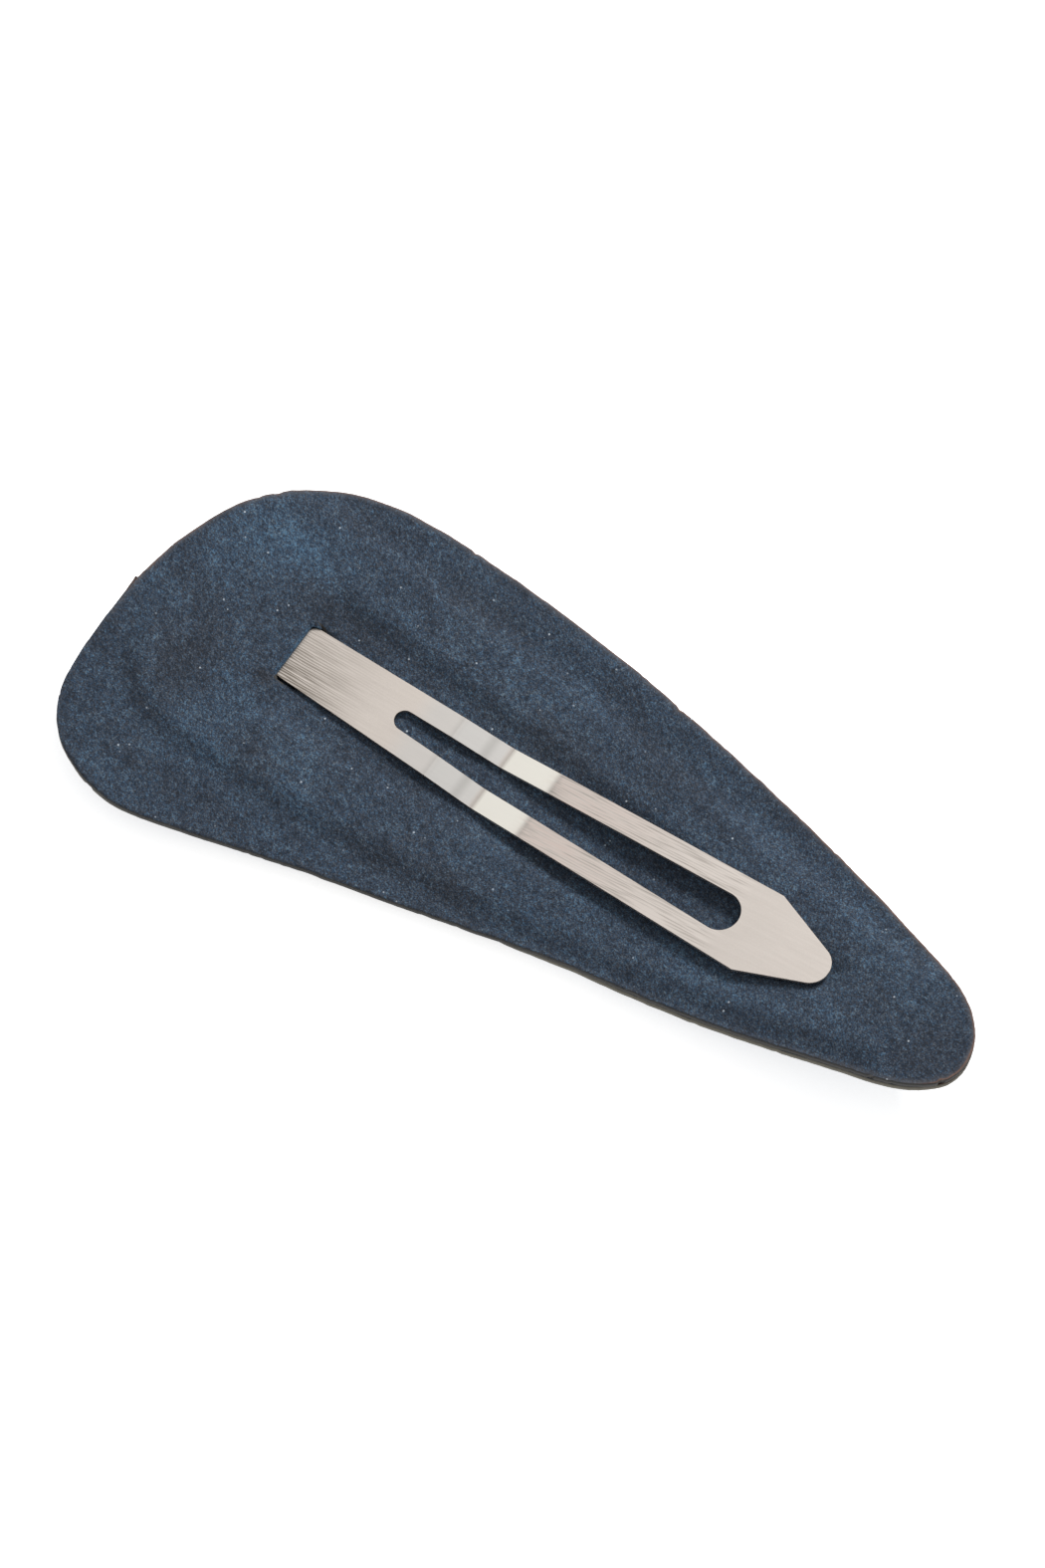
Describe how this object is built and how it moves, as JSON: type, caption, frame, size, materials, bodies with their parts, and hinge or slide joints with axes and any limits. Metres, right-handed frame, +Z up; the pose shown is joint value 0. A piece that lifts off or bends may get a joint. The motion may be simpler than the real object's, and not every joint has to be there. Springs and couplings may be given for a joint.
{
  "type": "snap hair clip",
  "caption": "Bowed snap hair clip: teardrop layers of suede leather over a hidden spring frame, with a slotted steel tongue that comes out through a slit in the back layer.",
  "frame": {"origin": "under the middle of the leather, on the surface that the clip lies on with its front down", "axes": "+X along the clip to its narrow tip, +Y across it to the side with the narrower brim, +Z up out of the clip's back, the side with the tongue"},
  "size_m": [0.103, 0.0456, 0.0111],
  "materials": {
    "front_suede": "brushed suede, navy",
    "back_suede": "brushed suede, navy",
    "spring_steel": "plain rolled sheet",
    "tongue_steel": "satin, fine lines along its length"
  },
  "bodies": {
    "clip_body": {"front_leather": "front_suede", "back_leather": "back_suede", "spring_frame": "spring_steel"},
    "tongue": {"tongue": "tongue_steel"}
  },
  "joints": [
    {"name": "tongue_lift", "type": "hinge", "parent": "clip_body", "child": "tongue", "pos_m": [-0.0338, 0.0025, 0.00327], "axis": [0, -1, 0], "range_deg": [0, 20]}
  ]
}
